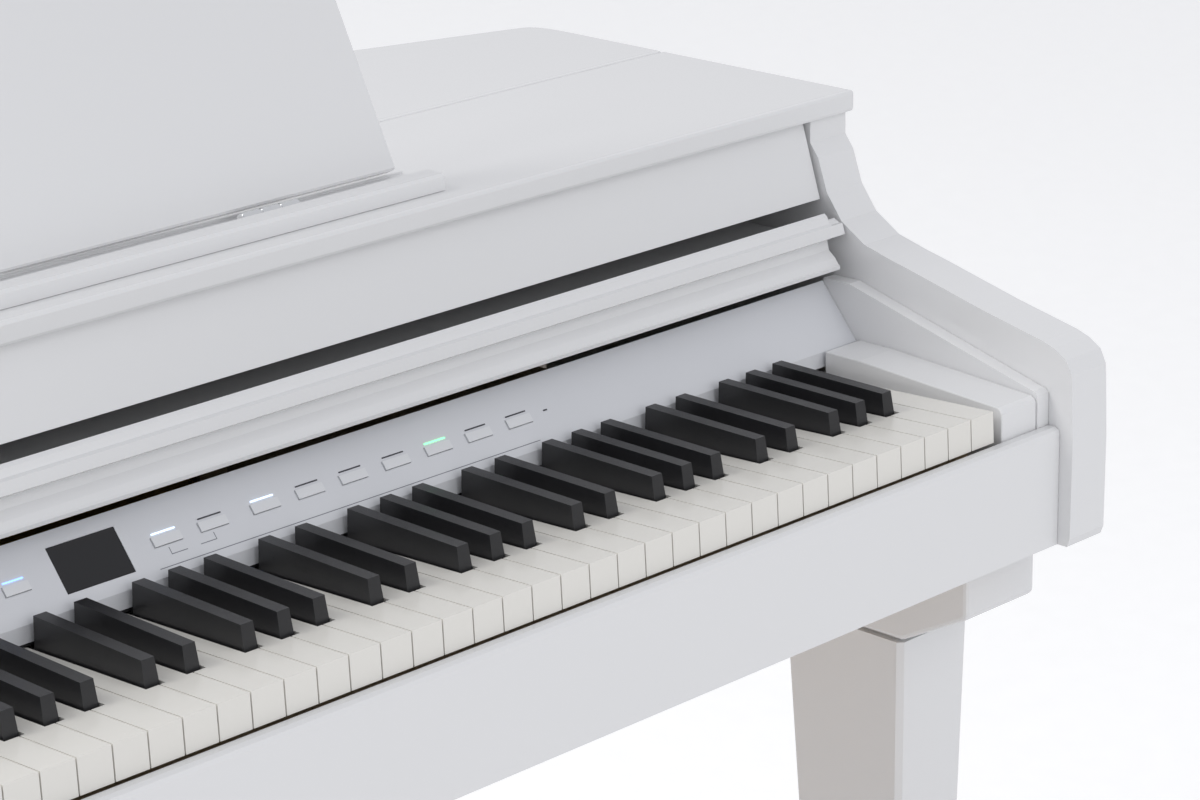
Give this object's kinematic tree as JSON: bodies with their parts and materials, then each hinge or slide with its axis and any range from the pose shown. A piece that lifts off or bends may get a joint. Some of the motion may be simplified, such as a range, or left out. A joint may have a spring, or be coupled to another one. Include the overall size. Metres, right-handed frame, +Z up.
{
  "type": "digital baby grand piano",
  "caption": "Digital baby grand piano with a compact bent-side case, sloping control panel, sliding fall cover, music desk, propped lid, three legs and pedal lyre.",
  "frame": {"origin": "on the floor, under the middle of the piano's bounding box", "axes": "+X to the treble end along the keyboard, -Y towards the player, +Z up"},
  "size_m": [1.416, 0.9414, 1.1386],
  "materials": {
    "cabinet": "white satin lacquer",
    "end_block": "white satin lacquer",
    "panel": "fine matt",
    "white_key": "satin ivory",
    "black_key": "fine grained satin",
    "button": "satin",
    "display": "black gloss",
    "brass": "polished",
    "timber": "bare board",
    "circuit": "solder mask",
    "dark_plastic": "moulded"
  },
  "bodies": {
    "case": {"bottom_board": "timber", "arm_left": "cabinet", "arm_right": "cabinet", "bent_rim": "cabinet", "key_slip": "cabinet", "fascia": "cabinet", "control_panel": "panel", "display_window": "display", "cheek_left": "cabinet", "cheek_right": "cabinet", "key_block_left": "end_block", "key_block_right": "end_block", "key_frame": "timber", "lid_front": "cabinet", "desk_base": "cabinet", "bracket_left": "cabinet", "bracket_right": "cabinet", "leg_left": "cabinet", "leg_right": "cabinet", "leg_rear": "cabinet", "lyre": "cabinet", "speaker_left": "dark_plastic", "speaker_right": "dark_plastic", "amplifier_board": "circuit", "power_inlet": "dark_plastic"},
    "white_keys_1": {"white_keys_1": "white_key"},
    "white_keys_2": {"white_keys_2": "white_key"},
    "white_keys_3": {"white_keys_3": "white_key"},
    "white_keys_4": {"white_keys_4": "white_key"},
    "white_keys_5": {"white_keys_5": "white_key"},
    "white_keys_6": {"white_keys_6": "white_key"},
    "black_keys_1": {"black_keys_1": "black_key"},
    "black_keys_2": {"black_keys_2": "black_key"},
    "black_keys_3": {"black_keys_3": "black_key"},
    "black_keys_4": {"black_keys_4": "black_key"},
    "black_keys_5": {"black_keys_5": "black_key"},
    "black_keys_6": {"black_keys_6": "black_key"},
    "button_1": {"button_1": "button"},
    "button_2": {"button_2": "button"},
    "button_3": {"button_3": "button"},
    "button_4": {"button_4": "button"},
    "button_5": {"button_5": "button"},
    "button_6": {"button_6": "button"},
    "button_7": {"button_7": "button"},
    "button_8": {"button_8": "button"},
    "button_9": {"button_9": "button"},
    "button_minus": {"button_minus": "button"},
    "button_plus": {"button_plus": "button"},
    "button_power": {"button_power": "button"},
    "volume_knob": {"volume_knob": "button"},
    "pedal_soft": {"pedal_soft": "brass"},
    "pedal_sostenuto": {"pedal_sostenuto": "brass"},
    "pedal_damper": {"pedal_damper": "brass"},
    "fall_carriage": {"fall_carriage": "timber"},
    "fall_cover": {"fall_cover": "cabinet"},
    "lid_main": {"lid_main": "cabinet"},
    "lid_prop": {"lid_prop": "brass"},
    "desk_board": {"desk_board": "cabinet"},
    "desk_strut": {"desk_strut": "cabinet"}
  },
  "joints": [
    {"name": "white_keys_1_hinge", "type": "hinge", "parent": "case", "child": "white_keys_1", "pos_m": [0, -0.216, 0.712], "axis": [1, 0, 0], "range_deg": [0, 2.47], "stiffness_Nm_per_rad": 9, "springref_deg": -14.32},
    {"name": "black_keys_1_hinge", "type": "hinge", "parent": "case", "child": "black_keys_1", "pos_m": [0, -0.186, 0.726], "axis": [1, 0, 0], "range_deg": [0, 2.57], "stiffness_Nm_per_rad": 3.6, "springref_deg": -14.32},
    {"name": "white_keys_2_hinge", "type": "hinge", "parent": "case", "child": "white_keys_2", "pos_m": [0, -0.216, 0.712], "axis": [1, 0, 0], "range_deg": [0, 2.47], "stiffness_Nm_per_rad": 7, "springref_deg": -14.32},
    {"name": "black_keys_2_hinge", "type": "hinge", "parent": "case", "child": "black_keys_2", "pos_m": [0, -0.186, 0.726], "axis": [1, 0, 0], "range_deg": [0, 2.57], "stiffness_Nm_per_rad": 3, "springref_deg": -14.32},
    {"name": "white_keys_3_hinge", "type": "hinge", "parent": "case", "child": "white_keys_3", "pos_m": [0, -0.216, 0.712], "axis": [1, 0, 0], "range_deg": [0, 2.47], "stiffness_Nm_per_rad": 7, "springref_deg": -14.32},
    {"name": "black_keys_3_hinge", "type": "hinge", "parent": "case", "child": "black_keys_3", "pos_m": [0, -0.186, 0.726], "axis": [1, 0, 0], "range_deg": [0, 2.57], "stiffness_Nm_per_rad": 3, "springref_deg": -14.32},
    {"name": "white_keys_4_hinge", "type": "hinge", "parent": "case", "child": "white_keys_4", "pos_m": [0, -0.216, 0.712], "axis": [1, 0, 0], "range_deg": [0, 2.47], "stiffness_Nm_per_rad": 7, "springref_deg": -14.32},
    {"name": "black_keys_4_hinge", "type": "hinge", "parent": "case", "child": "black_keys_4", "pos_m": [0, -0.186, 0.726], "axis": [1, 0, 0], "range_deg": [0, 2.57], "stiffness_Nm_per_rad": 3, "springref_deg": -14.32},
    {"name": "white_keys_5_hinge", "type": "hinge", "parent": "case", "child": "white_keys_5", "pos_m": [0, -0.216, 0.712], "axis": [1, 0, 0], "range_deg": [0, 2.47], "stiffness_Nm_per_rad": 7, "springref_deg": -14.32},
    {"name": "black_keys_5_hinge", "type": "hinge", "parent": "case", "child": "black_keys_5", "pos_m": [0, -0.186, 0.726], "axis": [1, 0, 0], "range_deg": [0, 2.57], "stiffness_Nm_per_rad": 3, "springref_deg": -14.32},
    {"name": "white_keys_6_hinge", "type": "hinge", "parent": "case", "child": "white_keys_6", "pos_m": [0, -0.216, 0.712], "axis": [1, 0, 0], "range_deg": [0, 2.47], "stiffness_Nm_per_rad": 15, "springref_deg": -14.32},
    {"name": "black_keys_6_hinge", "type": "hinge", "parent": "case", "child": "black_keys_6", "pos_m": [0, -0.186, 0.726], "axis": [1, 0, 0], "range_deg": [0, 2.57], "stiffness_Nm_per_rad": 6, "springref_deg": -14.32},
    {"name": "button_1_slide", "type": "slide", "parent": "case", "child": "button_1", "axis": [0, 0.766, -0.6428], "range_m": [0, 0.001], "stiffness_N_per_m": 800, "springref_m": -0.0015},
    {"name": "button_2_slide", "type": "slide", "parent": "case", "child": "button_2", "axis": [0, 0.766, -0.6428], "range_m": [0, 0.001], "stiffness_N_per_m": 800, "springref_m": -0.0015},
    {"name": "button_3_slide", "type": "slide", "parent": "case", "child": "button_3", "axis": [0, 0.766, -0.6428], "range_m": [0, 0.001], "stiffness_N_per_m": 800, "springref_m": -0.0015},
    {"name": "button_4_slide", "type": "slide", "parent": "case", "child": "button_4", "axis": [0, 0.766, -0.6428], "range_m": [0, 0.001], "stiffness_N_per_m": 800, "springref_m": -0.0015},
    {"name": "button_5_slide", "type": "slide", "parent": "case", "child": "button_5", "axis": [0, 0.766, -0.6428], "range_m": [0, 0.001], "stiffness_N_per_m": 800, "springref_m": -0.0015},
    {"name": "button_6_slide", "type": "slide", "parent": "case", "child": "button_6", "axis": [0, 0.766, -0.6428], "range_m": [0, 0.001], "stiffness_N_per_m": 800, "springref_m": -0.0015},
    {"name": "button_7_slide", "type": "slide", "parent": "case", "child": "button_7", "axis": [0, 0.766, -0.6428], "range_m": [0, 0.001], "stiffness_N_per_m": 800, "springref_m": -0.0015},
    {"name": "button_8_slide", "type": "slide", "parent": "case", "child": "button_8", "axis": [0, 0.766, -0.6428], "range_m": [0, 0.001], "stiffness_N_per_m": 800, "springref_m": -0.0015},
    {"name": "button_9_slide", "type": "slide", "parent": "case", "child": "button_9", "axis": [0, 0.766, -0.6428], "range_m": [0, 0.001], "stiffness_N_per_m": 800, "springref_m": -0.0015},
    {"name": "button_minus_slide", "type": "slide", "parent": "case", "child": "button_minus", "axis": [0, 0.766, -0.6428], "range_m": [0, 0.001], "stiffness_N_per_m": 800, "springref_m": -0.0015},
    {"name": "button_plus_slide", "type": "slide", "parent": "case", "child": "button_plus", "axis": [0, 0.766, -0.6428], "range_m": [0, 0.001], "stiffness_N_per_m": 800, "springref_m": -0.0015},
    {"name": "button_power_slide", "type": "slide", "parent": "case", "child": "button_power", "axis": [0, 0.766, -0.6428], "range_m": [0, 0.001], "stiffness_N_per_m": 800, "springref_m": -0.0015},
    {"name": "volume_knob_turn", "type": "hinge", "parent": "case", "child": "volume_knob", "pos_m": [-0.5, -0.27631, 0.76178], "axis": [0, -0.766, 0.6428], "range_deg": [-150, 150]},
    {"name": "pedal_soft_hinge", "type": "hinge", "parent": "case", "child": "pedal_soft", "pos_m": [-0.062, -0.226, 0.051], "axis": [1, 0, 0], "range_deg": [0, 4.5], "stiffness_Nm_per_rad": 20, "springref_deg": -6.88},
    {"name": "pedal_sostenuto_hinge", "type": "hinge", "parent": "case", "child": "pedal_sostenuto", "pos_m": [0, -0.226, 0.051], "axis": [1, 0, 0], "range_deg": [0, 4.5], "stiffness_Nm_per_rad": 20, "springref_deg": -6.88},
    {"name": "pedal_damper_hinge", "type": "hinge", "parent": "case", "child": "pedal_damper", "pos_m": [0.062, -0.226, 0.051], "axis": [1, 0, 0], "range_deg": [0, 4.5], "stiffness_Nm_per_rad": 20, "springref_deg": -6.88},
    {"name": "fall_carriage_slide", "type": "slide", "parent": "case", "child": "fall_carriage", "axis": [0, -1, 0], "range_m": [0, 0.175]},
    {"name": "fall_cover_hinge", "type": "hinge", "parent": "fall_carriage", "child": "fall_cover", "pos_m": [0, -0.078, 0.805], "axis": [1, 0, 0], "range_deg": [0, 14.62]},
    {"name": "lid_main_hinge", "type": "hinge", "parent": "case", "child": "lid_main", "pos_m": [-0.706, 0.152, 0.88985], "axis": [0, -1, 0], "range_deg": [0, 27]},
    {"name": "lid_prop_hinge", "type": "hinge", "parent": "case", "child": "lid_prop", "pos_m": [0.3, -0.008, 0.669], "axis": [0, 1, 0], "range_deg": [0, 39.2]},
    {"name": "desk_board_hinge", "type": "hinge", "parent": "case", "child": "desk_board", "pos_m": [0, -0.186, 0.914], "axis": [1, 0, 0], "range_deg": [-2.5, 12]},
    {"name": "desk_strut_hinge", "type": "hinge", "parent": "case", "child": "desk_strut", "pos_m": [0, -0.0998, 0.914], "axis": [1, 0, 0], "range_deg": [-3.2, 15.1]}
  ],
  "couplings": [
    {"joint": "fall_cover_hinge", "follows": "fall_carriage_slide", "rad_per_m": 1.456},
    {"joint": "lid_prop_hinge", "follows": "lid_main_hinge", "ratio": 1.45},
    {"joint": "desk_strut_hinge", "follows": "desk_board_hinge", "ratio": 1.25}
  ]
}
